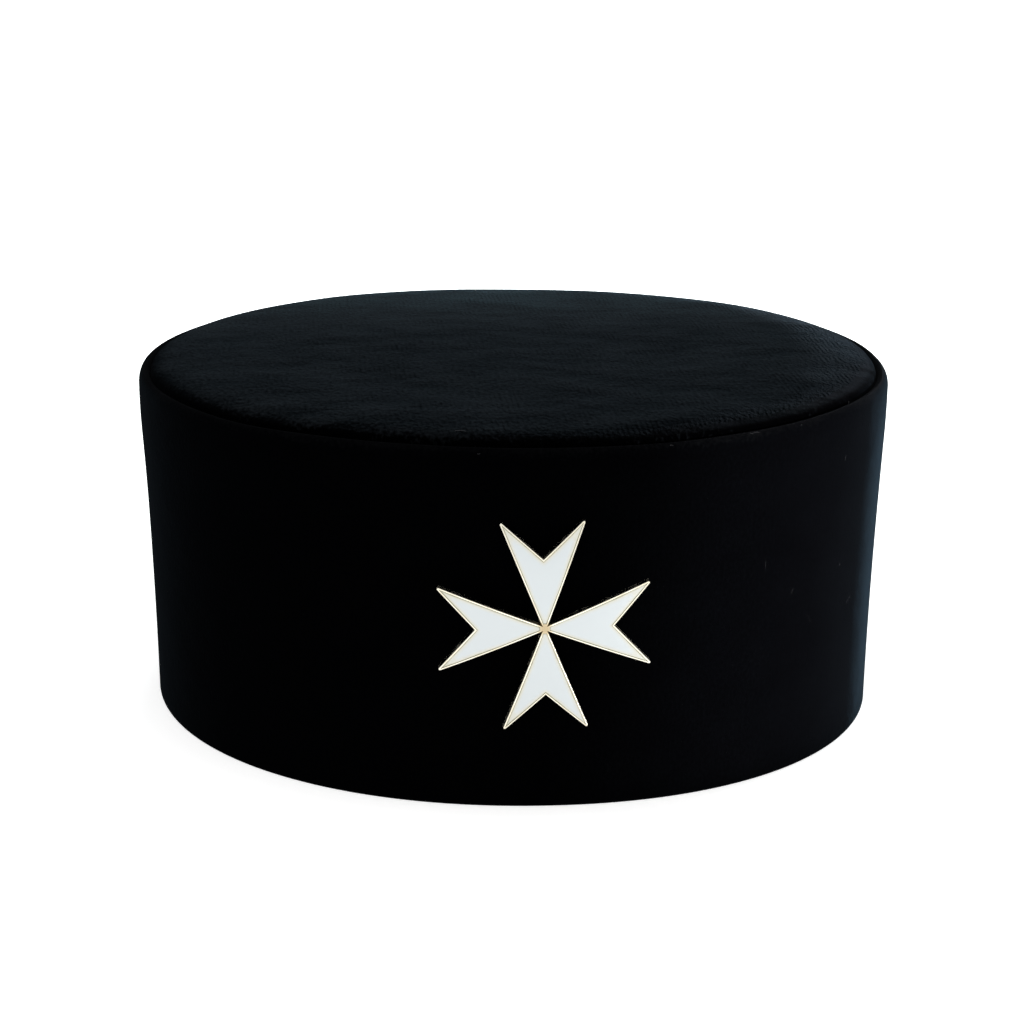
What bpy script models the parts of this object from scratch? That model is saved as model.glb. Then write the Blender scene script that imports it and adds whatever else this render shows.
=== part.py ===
"""Low velvet cap with a gilt and white enamel eight-pointed cross pinned to its front.

Metres, +Z up. The rim stands on z = 0, the front faces -Y, and the origin lies under the middle of
the whole part. Everything is parented to an empty at the middle of the cap's oval, and the badge's
pieces to an empty on the wall whose +Z points level to the front.
"""
import math

import bmesh
import bpy
import numpy as np

for old in list(bpy.data.objects):
    bpy.data.objects.remove(old)

PARTS = bpy.data.collections.new("masonic_cap")
CUTTERS = bpy.data.collections.new("cutters")
for group in (PARTS, CUTTERS):
    bpy.context.scene.collection.children.link(group)

MM = 0.001

# The cap. Its plan is an oval: a power of 2 is an ellipse, and more makes it squarer.
RIM_WIDTH = 176.4 * MM
RIM_DEPTH = 213.4 * MM
OVAL_POWER = 2.08
CAP_HEIGHT = 82.0 * MM
WALL_THICKNESS = 2.5 * MM

# The wall leans out by the flare. This share of it grows evenly with height, and the rest with its square.
WALL_FLARE = 3.7 * MM
EVEN_FLARE = 0.45

# The wall's edges, and the top panel: a flat with an edge that rolls down into the seam.
SHOULDER_INNER_RADIUS = 0.5 * MM
RIM_ROUNDING = 0.5 * MM
CROWN_ROLL_WIDTH = 8.0 * MM
CROWN_ROLL_DROP = 1.6 * MM
CROWN_EDGE = 1.0 * MM

# The badge's place: its centre's height, and its turn in degrees, counterclockwise from the front.
BADGE_HEIGHT = 42.1 * MM
BADGE_TURN = 1.3

# The cross: tip to tip across, between the two tips of an arm, and from its centre to a notch.
CROSS_WIDTH = 45.2 * MM
TIP_SPREAD = 18.1 * MM
NOTCH_REACH = 14.8 * MM
NECK_WIDTH = 1.1 * MM
TIP_RADIUS = 0.3 * MM

# The plate is domed. Each arm has a recess for its enamel, which starts at CELL_START from the centre.
DOME_RADIUS = 120.0 * MM
PLATE_THICKNESS = 2.6 * MM
GILT_LINE = 0.3 * MM
CELL_START = 1.3 * MM
CELL_DEPTH = 1.1 * MM
ENAMEL_SINK = 0.05 * MM

# The pin that carries the badge.
POST_RADIUS = 0.9 * MM
POST_HEAD_RADIUS = 4.0 * MM
POST_HEAD_THICKNESS = 1.0 * MM

# Clearance between neighbours, how far cutters run past what they cut, and the weld distance.
GAP = 0.3 * MM
CUT_MARGIN = 1.0 * MM
WELD = 0.001 * MM

# Facets
PLAN_STEPS = 80
WALL_STEPS = 6
SHOULDER_STEPS = 5
ROUNDING_STEPS = 2
ROLL_STEPS = 6
TIP_STEPS = 3
DOME_STEPS = 32
DOME_RINGS = 6
POST_STEPS = 20
SMOOTH_ANGLE = 35.0

# Sizes that follow
SEAM_HEIGHT = CAP_HEIGHT - CROWN_ROLL_DROP
SHOULDER_RADIUS = SHOULDER_INNER_RADIUS + WALL_THICKNESS
SHOULDER_START = SEAM_HEIGHT - SHOULDER_RADIUS
SEAM_OUTSET = WALL_FLARE - SHOULDER_RADIUS
PLATE_BACK_RADIUS = DOME_RADIUS - PLATE_THICKNESS
ARMS = ("top", "right", "bottom", "left")
ARM_TURN = 360 / len(ARMS)

# Finishes: colour, roughness, metallic
VELVET = ((0.008, 0.011, 0.016), 0.95, 0.0)
GILT = ((0.83, 0.62, 0.30), 0.22, 1.0)
ENAMEL = ((0.77, 0.82, 0.83), 0.12, 0.0)
BRASS = ((0.62, 0.47, 0.24), 0.35, 1.0)


def arc(centre, radius, start, end, steps):
    """Points on an arc between two angles in degrees, both ends included."""
    angles = np.radians(np.linspace(start, end, steps + 1))
    return [(centre[0] + radius * math.cos(a), centre[1] + radius * math.sin(a)) for a in angles]


def rotated(points, degrees):
    """Flat points turned counterclockwise about the origin."""
    angle = math.radians(degrees)
    turn = np.array([[math.cos(angle), math.sin(angle)], [-math.sin(angle), math.cos(angle)]])
    return np.asarray(points) @ turn


def plan_outline(outset):
    """Points round the rim's oval, moved outwards by outset, counterclockwise from +X."""
    turn = np.arange(PLAN_STEPS) * 2 * math.pi / PLAN_STEPS
    half_size = np.array([RIM_WIDTH, RIM_DEPTH]) / 2
    direction = np.stack([np.cos(turn), np.sin(turn)], axis=1)
    share = np.sign(direction) * np.abs(direction) ** (2 / OVAL_POWER)
    normal = np.sign(direction) * np.abs(direction) ** (2 - 2 / OVAL_POWER) / half_size
    normal /= np.linalg.norm(normal, axis=1, keepdims=True)
    return share * half_size + normal * outset


def wall_outset(height):
    """How far the outer wall stands outside the rim: it leans out, and more towards the top."""
    share = height / SHOULDER_START
    return WALL_FLARE * (EVEN_FLARE * share + (1 - EVEN_FLARE) * share**2)


def wall_front(x, height):
    """The outer wall's y at the front."""
    outline = plan_outline(wall_outset(height))
    front = outline[outline[:, 1] < 0]
    return float(np.interp(x, front[:, 0], front[:, 1]))


def wall_fall(across, up):
    """How far the wall lies behind the upright plane that touches it at the badge's centre."""
    return wall_front(across, BADGE_HEIGHT + up) - wall_front(0, BADGE_HEIGHT)


def dome_fall(radius, reach):
    """How far a dome's surface drops from its apex at a distance from its axis."""
    return radius - math.sqrt(radius**2 - reach**2)


def material(name, finish):
    colour, roughness, metallic = finish
    new = bpy.data.materials.new(name)
    new.use_nodes = True
    shader = new.node_tree.nodes["Principled BSDF"]
    shader.inputs["Base Color"].default_value = (*colour, 1)
    shader.inputs["Roughness"].default_value = roughness
    shader.inputs["Metallic"].default_value = metallic
    return new


def empty(name, parent=None):
    new = bpy.data.objects.new(name, None)
    new.parent = parent
    PARTS.objects.link(new)
    return new


def part(name, mesh, finish, parent):
    """A visible sub-part with its own material."""
    new = bpy.data.objects.new(name, mesh)
    mesh.shade_smooth()
    mesh.set_sharp_from_angle(angle=math.radians(SMOOTH_ANGLE))
    mesh.materials.append(material(name, finish))
    new.parent = parent
    PARTS.objects.link(new)
    return new


def guide(name, data, parent=None):
    """An object that only shapes or cuts others."""
    new = bpy.data.objects.new(name, data)
    new.hide_render = True
    new.display_type = "WIRE"
    new.parent = parent
    CUTTERS.objects.link(new)
    return new


def cut(target, operation, other):
    modifier = target.modifiers.new(other.name, "BOOLEAN")
    modifier.operation = operation
    modifier.solver = "EXACT"
    modifier.object = other


def closed_curve(name, points, dimensions):
    """A guide curve with straight steps through flat points."""
    curve = bpy.data.curves.new(name, "CURVE")
    curve.dimensions = dimensions
    spline = curve.splines.new("POLY")
    spline.points.add(len(points) - 1)
    for place, (x, y) in zip(spline.points, points):
        place.co = (x, y, 0, 1)
    spline.use_cyclic_u = True
    return guide(name, curve)


def solid_mesh(shape, lift=0.0):
    """The guide's evaluated mesh, welded into one closed body and lifted; the guide is removed."""
    bpy.context.view_layer.update()
    evaluated = shape.evaluated_get(bpy.context.evaluated_depsgraph_get())
    mesh = bpy.data.meshes.new_from_object(evaluated)
    cage = bmesh.new()
    cage.from_mesh(mesh)
    bmesh.ops.remove_doubles(cage, verts=cage.verts, dist=WELD)
    bmesh.ops.recalc_face_normals(cage, faces=cage.faces)
    bmesh.ops.translate(cage, verts=cage.verts, vec=(0, 0, lift))
    cage.to_mesh(mesh)
    cage.free()
    bpy.data.objects.remove(shape)
    return mesh


def slab(name, outline, low, high):
    """A flat outline with a thickness."""
    curve = closed_curve(name, outline, "2D")
    curve.data.fill_mode = "BOTH"
    curve.data.extrude = (high - low) / 2
    return solid_mesh(curve, lift=(high + low) / 2)


def turned(name, profile, steps):
    """A solid turned about +Z, from a profile in X and Z that runs down its outer side."""
    mesh = bpy.data.meshes.new(name)
    points = [(x, 0, z) for x, z in profile]
    mesh.from_pydata(points, [(i, i + 1) for i in range(len(points) - 1)], [])
    lathe = guide(name, mesh)
    screw = lathe.modifiers.new("turn", "SCREW")
    screw.steps = steps
    screw.render_steps = steps
    screw.use_merge_vertices = True
    screw.merge_threshold = WELD
    return solid_mesh(lathe)


def band_section():
    """The side wall's closed section: x outwards from the rim's outer edge, y up."""
    rounding = min(RIM_ROUNDING, WALL_THICKNESS / 3)
    foot = wall_outset(rounding)
    shoulder_centre = (WALL_FLARE - SHOULDER_RADIUS, SHOULDER_START)
    outer = [(wall_outset(h), h) for h in np.linspace(rounding, SHOULDER_START, WALL_STEPS + 1)]
    inner = [(x - WALL_THICKNESS, h) for x, h in reversed(outer)]
    shoulder = arc(shoulder_centre, SHOULDER_RADIUS, 0, 90, SHOULDER_STEPS)
    inner_shoulder = arc(shoulder_centre, SHOULDER_INNER_RADIUS, 90, 0, ROUNDING_STEPS)
    inner_rim = arc((foot - WALL_THICKNESS + rounding, rounding), rounding, 180, 270, ROUNDING_STEPS)
    outer_rim = arc((foot - rounding, rounding), rounding, 270, 360, ROUNDING_STEPS)
    return outer + shoulder[1:] + inner_shoulder + inner[1:] + inner_rim[1:] + outer_rim[:-1]


def side_band(parent):
    """The side wall: its section swept round the oval rim."""
    section = closed_curve("band_section", band_section(), "2D")
    path = closed_curve("band_path", plan_outline(0), "3D")
    path.data.twist_mode = "Z_UP"
    path.data.bevel_mode = "OBJECT"
    path.data.bevel_object = section
    mesh = solid_mesh(path)
    bpy.data.objects.remove(section)
    return part("side_band", mesh, VELVET, parent)


def crown_top(parent):
    """The top panel: its edge stands inside the band's end, and rolls up and over to the flat."""
    mesh = slab("crown_top", plan_outline(SEAM_OUTSET - GAP), SEAM_HEIGHT - CROWN_EDGE, SEAM_HEIGHT)
    cage = bmesh.new()
    cage.from_mesh(mesh)
    top = [face for face in cage.faces if face.normal.z > 0.9]
    roll = arc((0, 0), 1, 0, 90, ROLL_STEPS)
    for (outside, low), (inside, high) in zip(roll, roll[1:]):
        step = (outside - inside) * CROWN_ROLL_WIDTH
        bmesh.ops.inset_region(cage, faces=top, thickness=step, use_even_offset=True, use_boundary=True)
        raised = {vertex for face in top for vertex in face.verts}
        bmesh.ops.translate(cage, verts=list(raised), vec=(0, 0, (high - low) * CROWN_ROLL_DROP))
    cage.to_mesh(mesh)
    cage.free()
    part("crown_top", mesh, VELVET, parent)


def tangent_point(outside, centre, side):
    """Where a line from an outside point touches a tip's circle, on its left (1) or right (-1)."""
    away = outside - centre
    distance = np.linalg.norm(away)
    spread = math.degrees(math.acos(TIP_RADIUS / distance))
    return centre + rotated(away / distance * TIP_RADIUS, side * spread)


def arm_corners():
    """Of the arm along +Y: its neck's right side, its notch, and its right tip's centre and tangents."""
    neck = np.array([NECK_WIDTH, NECK_WIDTH]) / 2
    notch = np.array([0.0, NOTCH_REACH])
    tip = np.array([TIP_SPREAD, CROSS_WIDTH]) / 2 - TIP_RADIUS
    return neck, notch, tip, tangent_point(neck, tip, 1), tangent_point(notch, tip, -1)


def cross_outline():
    """The eight-pointed cross with rounded tips, counterclockwise."""
    neck, notch, tip, side_touch, notch_touch = arm_corners()
    start, end = (math.degrees(math.atan2(*(touch - tip)[::-1])) for touch in (side_touch, notch_touch))
    right_tip = np.array(arc(tip, TIP_RADIUS, start, end, TIP_STEPS))
    left_tip = right_tip[::-1] * (-1, 1)
    arm = np.vstack([neck, right_tip, notch, left_tip])
    return np.vstack([rotated(arm, ARM_TURN * index) for index in range(len(ARMS))])


def arm_field():
    """The arm along +Y with sharp tips, cut straight so that a recess inside it begins at CELL_START."""
    neck, notch, _, side_touch, notch_touch = arm_corners()
    side = side_touch - neck
    along = np.stack([side, notch - notch_touch], axis=1)
    tip = neck + side * np.linalg.solve(along, notch - neck)[0]
    base = neck + side * (CELL_START - GILT_LINE - neck[1]) / side[1]
    mirror = np.array([-1, 1])
    return np.stack([base, tip, notch, tip * mirror, base * mirror])


def inset(points, distance):
    """A counterclockwise outline moved inwards, corner by corner."""
    edges = np.roll(points, -1, axis=0) - points
    edges /= np.linalg.norm(edges, axis=1, keepdims=True)
    inward = edges[:, ::-1] * (-1, 1)
    before = np.roll(inward, 1, axis=0)
    mitre = (inward + before) / (1 + np.sum(inward * before, axis=1, keepdims=True))
    return points + mitre * distance


def badge_stand():
    """Height of the plate's back over the wall at its centre: its nearest edge clears the wall by GAP."""
    edge = cross_outline()
    reach = np.linalg.norm(edge, axis=1)
    needed = [
        dome_fall(PLATE_BACK_RADIUS, distance) - wall_fall(across, up)
        for distance, (across, up) in zip(reach, rotated(edge, BADGE_TURN))
    ]
    return max(needed) + GAP


def dome_shell(name, outer_radius, inner_radius, parent):
    """A cutter between two spheres with the dome's centre, wider than the cross.

    It is turned by half a facet, so that no facet's edge runs along an arm's axis.
    """
    reach = math.hypot(CROSS_WIDTH, TIP_SPREAD) / 2 + CUT_MARGIN
    spread = math.degrees(math.asin(reach / inner_radius))
    centre = (0, badge_stand() + PLATE_THICKNESS - DOME_RADIUS)
    outer = arc(centre, outer_radius, 90, 90 - spread, DOME_RINGS)
    inner = arc(centre, inner_radius, 90 - spread, 90, DOME_RINGS)
    shell = guide(name, turned(name, outer + inner, DOME_STEPS), parent)
    shell.rotation_euler.z = math.pi / DOME_STEPS
    return shell


def prism(name, outline):
    """A flat outline, made thick enough to reach through the whole badge."""
    return slab(name, outline, -DOME_RADIUS / 2, DOME_RADIUS / 2)


def badge(parent):
    """The domed plate with a recess in each arm, and the enamel that fills each recess."""
    floor = DOME_RADIUS - CELL_DEPTH
    body = dome_shell("plate_shell", DOME_RADIUS, PLATE_BACK_RADIUS, parent)
    recess = dome_shell("recess_shell", DOME_RADIUS + CUT_MARGIN, floor, parent)
    filling = dome_shell("enamel_shell", DOME_RADIUS - ENAMEL_SINK, floor + GAP, parent)
    plate = part("badge_plate", prism("badge_plate", cross_outline()), GILT, parent)
    cut(plate, "INTERSECT", body)
    for index, arm in enumerate(ARMS):
        cell_outline = rotated(inset(arm_field(), GILT_LINE), -ARM_TURN * index)
        cell = guide(f"recess_{arm}", prism(f"recess_{arm}", cell_outline), parent)
        cut(cell, "INTERSECT", recess)
        cut(plate, "DIFFERENCE", cell)
        enamel_outline = rotated(inset(arm_field(), GILT_LINE + GAP), -ARM_TURN * index)
        enamel = part(f"enamel_{arm}", prism(f"enamel_{arm}", enamel_outline), ENAMEL, parent)
        cut(enamel, "INTERSECT", filling)


def badge_post(parent, band):
    """The pin behind the badge: a shaft through a hole in the wall, and a flat head inside."""
    top = badge_stand() - GAP
    bulge = max(wall_fall(POST_HEAD_RADIUS, 0), wall_fall(0, -POST_HEAD_RADIUS))
    head_front = -(WALL_THICKNESS + GAP + bulge)
    head_back = head_front - POST_HEAD_THICKNESS
    shaft = [(0, top), (POST_RADIUS, top), (POST_RADIUS, head_front)]
    head = [(POST_HEAD_RADIUS, head_front), (POST_HEAD_RADIUS, head_back), (0, head_back)]
    part("badge_post", turned("badge_post", shaft + head, POST_STEPS), BRASS, parent)
    hole_radius = POST_RADIUS + GAP
    hole = [(0, CUT_MARGIN), (hole_radius, CUT_MARGIN), (hole_radius, head_back), (0, head_back)]
    cut(band, "DIFFERENCE", guide("post_hole", turned("post_hole", hole, POST_STEPS), parent))


def cap_shift():
    """How far the cap's oval moves back, so that the origin is midway between badge and back."""
    badge_front = wall_front(0, BADGE_HEIGHT) - badge_stand() - PLATE_THICKNESS
    return -(badge_front + RIM_DEPTH / 2 + WALL_FLARE) / 2


cap_centre = empty("cap_centre")
cap_centre.location.y = cap_shift()
wall = side_band(cap_centre)
crown_top(cap_centre)

badge_axis = empty("badge_axis", cap_centre)
badge_axis.location = (0, wall_front(0, BADGE_HEIGHT), BADGE_HEIGHT)
badge_axis.rotation_mode = "ZYX"
badge_axis.rotation_euler = (math.radians(90), 0, math.radians(BADGE_TURN))
badge(badge_axis)
badge_post(badge_axis, wall)
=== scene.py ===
"""Looks of a low black velvet cap with a gilt and white enamel eight-pointed cross on its front.

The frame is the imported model's: +Z up, the rim on z = 0, the front towards -Y. Shapes are worked
out in millimetres, as plain arrays of points, and become metres when their meshes are made. The
badge is drawn flat, with +Y up, and then bent over its dome.
"""
import math
from collections import namedtuple

import bpy
import numpy as np
from mathutils import Euler, Matrix, Quaternion, Vector, geometry, noise
from mathutils.bvhtree import BVHTree


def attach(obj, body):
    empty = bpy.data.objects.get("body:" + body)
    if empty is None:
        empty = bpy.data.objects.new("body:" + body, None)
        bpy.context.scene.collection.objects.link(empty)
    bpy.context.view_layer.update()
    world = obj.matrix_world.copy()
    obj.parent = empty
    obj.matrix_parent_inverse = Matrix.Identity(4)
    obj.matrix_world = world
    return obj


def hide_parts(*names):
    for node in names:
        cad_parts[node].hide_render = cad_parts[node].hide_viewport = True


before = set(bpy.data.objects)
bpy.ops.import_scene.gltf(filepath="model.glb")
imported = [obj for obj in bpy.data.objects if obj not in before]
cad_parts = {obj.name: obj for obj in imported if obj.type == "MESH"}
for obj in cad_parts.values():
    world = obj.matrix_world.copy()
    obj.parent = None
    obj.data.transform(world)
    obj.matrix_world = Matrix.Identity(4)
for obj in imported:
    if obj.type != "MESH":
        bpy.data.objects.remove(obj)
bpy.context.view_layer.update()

MM = 0.001

# The part's origin lies under the middle of its whole depth. The badge adds to that depth at the
# front, so the cap's own middle is half as much behind the origin.
CENTRE_Y = 2.09

# The cap, as in the CAD model: an oval of this power, whose wall leans out by the flare. This
# share of the flare grows evenly with the height, and the rest with its square. Above
# STRAIGHT_START the wall straightens again by a little.
RIM_WIDTH = 176.4
RIM_DEPTH = 213.4
OVAL_POWER = 2.08
CAP_HEIGHT = 82.0
WALL_THICKNESS = 2.5
WALL_FLARE = 3.7
EVEN_FLARE = 0.45
SHOULDER_START = 77.4
STRAIGHT_START = 65.0
STRAIGHTENING = 0.4

# The hem's fold, and how high and how thick the velvet is turned up inside.
HEM_RADIUS = 0.4
HEM_HEIGHT = 11.0
HEM_STEP = 0.45

# The wall's top edge rolls over its crest into the seam, as (outset, height) of the crest, of the
# seam's side, and of the sewing allowance under the top's edge. The lining ends a little below
# the shoulder.
CREST = (1.8, 79.95)
LIP = (0.6, 79.0)
ALLOWANCE = ((0.6, 78.1), (-0.6, 78.1), (-0.6, 77.6))
LINING_DROP = 0.5

# The top's edge is the rim's oval moved outwards. From there the top rises out of the seam, as
# (inset, height), up to its flat middle. Its crown lifts the middle, and lowers the edge by what
# is left of it.
TOP_EDGE = 0.5
TOP_ROLL = (
    (0, 78.9),
    (0.1, 79.7),
    (0.3, 80.3),
    (0.7, 80.8),
    (1.4, 81.2),
    (2.4, 81.45),
    (4.0, 81.67),
    (6.4, 81.85),
    (9.4, 81.96),
)
FLAT_START = 13.0
CROWN = 0.5
CROWN_AT_MIDDLE = 0.6
CROWN_POWER = 4
UNDERSIDE = 78.3

# Handwork: the cap leans up to the right and to the back, a long wave runs across its top, and
# soft lumps break the even shapes. The wave and the top's lumps fade quickly down the wall. TINY
# only gives a point on the axis a direction.
LEAN = 0.55
BACK_LIFT = 0.45
TOP_WAVE = 0.2
TOP_WAVE_LENGTH = 105.0
TOP_WAVE_START = -5.0
TOP_FADE_POWER = 4
LUMP_SIZE = 30.0
TOP_LUMPS = 0.3
TOP_LUMPS_SEED = 3
WALL_LUMPS = 0.22
WALL_LUMPS_SEED = 8
TINY = 1e-9

# The seam up the back of the wall, with more columns of points at these distances beside it. The
# even columns stay clear of the last of them by this factor.
BACK_SEAM_DEPTH = 0.5
BACK_SEAM_WIDTH = 0.5
BACK_SEAM_COLUMNS = (0.15, 0.35, 0.6, 0.9, 1.3)
BACK_SEAM_CLEARANCE = 1.3

# The badge, as in the CAD model, but for its enamel, which begins nearer the middle.
BADGE_HEIGHT = 42.1
BADGE_TURN = 1.3
BADGE_STAND = 3.77
CROSS_WIDTH = 45.2
TIP_SPREAD = 18.1
NOTCH_REACH = 14.8
NECK_WIDTH = 1.1
TIP_RADIUS = 0.3
DOME_RADIUS = 120.0
PLATE_THICKNESS = 2.6
CELL_START = 1.0
CELL_DEPTH = 1.1
ARMS = ("top", "right", "bottom", "left")
ARM_TURN = 360 / len(ARMS)

# The badge's fine edges, as (inset, height) steps from an outline: the plate's back and front
# rim, a cell's lip, and the enamel's foot and edge. Heights are from the plate's face.
GILT_LINE = 0.3
BACK_CHAMFER = 0.05
PLATE_BACK = ((BACK_CHAMFER, -PLATE_THICKNESS), (0.0, -PLATE_THICKNESS + BACK_CHAMFER))
PLATE_RIM = ((0.0, -0.14), (0.03, -0.05), (0.08, 0.0))
CELL_LIP = ((0.0, 0.0), (0.03, -0.03), (0.04, -CELL_DEPTH))
ENAMEL_GAP = 0.06
ENAMEL_FOOT = -CELL_DEPTH + 0.02
ENAMEL_EDGE = (
    (0.0, ENAMEL_FOOT),
    (0.0, -0.3),
    (0.02, -0.14),
    (0.07, -0.1),
    (0.18, -0.08),
    (0.35, -0.06),
)
ENAMEL_CROWN = -0.04

# Lint caught in the pile, as (place, length, radius, tilt in degrees from level, and curl as a
# share of half the length).
LINT = (
    ((-17.2, -97.3, 81.7), 2.6, 0.03, 0, 0.5),
    ((-13.9, -106.7, 78.7), 0.9, 0.012, 0, 0.1),
    ((27.3, -103.0, 79.5), 1.0, 0.006, 0, 0.2),
    ((40.2, -97.4, 79.3), 1.2, 0.006, 0, 0.1),
    ((46.5, -93.1, 79.9), 1.8, 0.008, 10, 0.3),
    ((45.8, -93.6, 80.0), 0.8, 0.007, -40, 0.1),
    ((47.4, -92.5, 79.9), 1.0, 0.007, -20, 0.2),
    ((58.2, -83.8, 79.8), 1.0, 0.022, 20, 0.2),
    ((72.8, -61.0, 80.5), 1.0, 0.03, 40, 0.1),
    ((71.0, -68.9, 69.3), 1.3, 0.022, 80, 0.1),
    ((50.2, -89.6, 49.7), 1.8, 0.01, 85, 0.1),
    ((70.9, -66.5, 43.8), 0.7, 0.025, 20, 0.4),
    ((57.5, -82.8, 41.9), 1.2, 0.018, 60, 0.6),
    ((62.3, -77.2, 34.1), 2.6, 0.005, -50, 0.1),
    ((74.3, -60.0, 33.6), 2.6, 0.01, 25, 0.2),
)
LINT_LIFT = 0.05
LINT_TAPER = 0.98

# Painted shade: the top's colour is darkened near the seam, all round over the roll, and widely at
# the front's right. The wide part grows between these places from left to right, and over this
# depth from back to front, with its middle on the cap's.
ROLL_SHADE_WIDTH = 3.0
SHADE_WIDTH = 14.0
SHADE_FROM = -60.0
SHADE_TO = 40.0
SHADE_DEPTH = 80.0

# Facets. The rings of the underside lie at these shares of the way to its edge.
PLAN_STEPS = 360
WALL_STEPS = 30
SHOULDER_STEPS = 10
LINING_STEPS = 14
FOLD_STEPS = 4
TOP_RINGS = 26
UNDERSIDE_RINGS = (0.15, 0.5, 0.8, 1.0)
LINT_STEPS = 12
LINT_SIDES = 5
TIP_STEPS = 6
SMOOTH_ANGLE = 40.0

# The spacing of the badge's points, how far its outlines are bowed while its faces are filled,
# and the distance under which two of its points are one.
BADGE_SPACING = 0.8
BOW = 0.005
WELD = 1e-6

# The rows of facets where each darker copy of the velvet, a step of painted shade by the seam,
# begins, up the wall's shoulder, or ends, from the top's foot. On the top, away from the front's
# right, each ends up to three rows sooner.
WALL_SHADE_ROWS = (4, 5, 6, 7, 8)
TOP_SHADE_ROWS = (9, 8, 7, 6, 4)
TOP_FEWER_SHADE_ROWS = 3


# Shapes

def plan_outline(turn, outset):
    """Points on the rim's oval, moved outwards by outset, for turns from +X towards +Y."""
    half_size = np.array([RIM_WIDTH, RIM_DEPTH]) / 2
    direction = np.stack([np.cos(turn), np.sin(turn)], axis=1)
    share = np.sign(direction) * np.abs(direction) ** (2 / OVAL_POWER)
    normal = np.sign(direction) * np.abs(direction) ** (2 - 2 / OVAL_POWER) / half_size
    normal /= np.linalg.norm(normal, axis=1, keepdims=True)
    return share * half_size + normal * outset


def wall_outset(height):
    """How far the outer wall stands outside the rim."""
    share = height / SHOULDER_START
    straight = max(0, height - STRAIGHT_START) / (SHOULDER_START - STRAIGHT_START)
    flare = WALL_FLARE * (EVEN_FLARE * share + (1 - EVEN_FLARE) * share**2)
    return flare - STRAIGHTENING * straight**2


def arc(centre, radius, start, end, steps):
    """Points on an arc between two angles in degrees, both ends included."""
    angles = np.radians(np.linspace(start, end, steps + 1))
    return [(centre[0] + radius * math.cos(a), centre[1] + radius * math.sin(a)) for a in angles]


def bend(start, end, steps, rises):
    """A quarter of an ellipse between two points, both included. It sets off upwards or level."""
    turn = np.linspace(0, math.pi / 2, steps + 1)
    early, late = np.sin(turn), 1 - np.cos(turn)
    across, up = (late, early) if rises else (early, late)
    width, height = end[0] - start[0], end[1] - start[1]
    return [(start[0] + width * a, start[1] + height * b) for a, b in zip(across, up)]


def plan_turns():
    """The turns of the cap's columns of points, with the seam's own columns at the back."""
    even = np.arange(PLAN_STEPS) * 2 * math.pi / PLAN_STEPS
    beside = np.array(BACK_SEAM_COLUMNS) * 2 / RIM_WIDTH
    seam = np.concatenate([-beside[::-1], beside]) + math.pi / 2
    clear = np.abs(even - math.pi / 2) > beside[-1] * BACK_SEAM_CLEARANCE
    clear |= np.isclose(even, math.pi / 2)
    return np.sort(np.concatenate([even[clear], seam]))


def level(flat, height):
    """Flat points at one height."""
    return np.column_stack([flat, np.full(len(flat), height)])


def lumps(points, size, seed):
    """Smooth noise from -1 to 1 at each point."""
    offset = Vector((seed, 0, 0))
    return np.array([noise.noise(Vector(point) / size + offset) for point in points])


def worked(points):
    """The cap's points with the handwork's unevenness, which grows from nothing at the rim."""
    points = points.copy()
    rise = points[:, 2] / CAP_HEIGHT
    across = points[:, 0] / (RIM_WIDTH / 2)
    behind = 0.5 + points[:, 1] / RIM_DEPTH
    wave = -np.sin(2 * math.pi * (points[:, 0] - TOP_WAVE_START) / TOP_WAVE_LENGTH) * TOP_WAVE
    unevenness = wave + lumps(points, LUMP_SIZE, TOP_LUMPS_SEED) * TOP_LUMPS
    lift = (LEAN * across + BACK_LIFT * behind) * rise + unevenness * rise**TOP_FADE_POWER
    outwards = points[:, :2] / np.linalg.norm(points[:, :2] + TINY, axis=1, keepdims=True)
    swell = lumps(points, LUMP_SIZE, WALL_LUMPS_SEED) * WALL_LUMPS * rise
    points[:, :2] += outwards * swell[:, None]
    points[:, 2] += lift
    return points


def quads(rows, columns, closed):
    """Corners of a lattice of points whose columns close up, and whose rows do if closed."""
    row = np.arange(rows if closed else rows - 1)[:, None]
    column = np.arange(columns)[None, :]
    lower, upper = row * columns, (row + 1) % rows * columns
    beside = (column + 1) % columns
    corners = (lower + column, lower + beside, upper + beside, upper + column)
    return np.stack(np.broadcast_arrays(*corners), axis=-1).reshape(-1, 4)


def piece(name, points, faces, replaced):
    """A mesh object from points in millimetres, riding on the cap and standing for CAD nodes."""
    mesh = bpy.data.meshes.new(name)
    mesh.from_pydata((np.asarray(points) * MM).tolist(), [], [list(face) for face in faces])
    mesh.shade_smooth()
    mesh.set_sharp_from_angle(angle=math.radians(SMOOTH_ANGLE))
    made = bpy.data.objects.new(name, mesh)
    bpy.context.scene.collection.objects.link(made)
    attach(made, "root")
    if replaced:
        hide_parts(*replaced)
    return made


def lay_cloth(mesh, places):
    """Gives each corner its place on the flat cloth, in millimetres, for the weave to follow."""
    layer = mesh.uv_layers.new(name="cloth")
    layer.data.foreach_set("uv", np.asarray(places, dtype=np.float32).ravel())


def mark_points(mesh, name, values):
    """Gives each point a value that the piece's finish reads."""
    attribute = mesh.attributes.new(name, "FLOAT", "POINT")
    attribute.data.foreach_set("value", values.astype(np.float32))


def set_finishes(mesh, finishes, plain, shade_steps):
    """Gives each face its finish: flat velvet, the plain inside, or a darker copy that paints shade
    in a bend.
    """
    for cloth_finish in finishes:
        mesh.materials.append(cloth_finish)
    kinds = np.where(plain, 1, np.where(shade_steps, shade_steps + 1, 0))
    mesh.polygons.foreach_set("material_index", kinds.astype(np.int32))


# The cap

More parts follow.
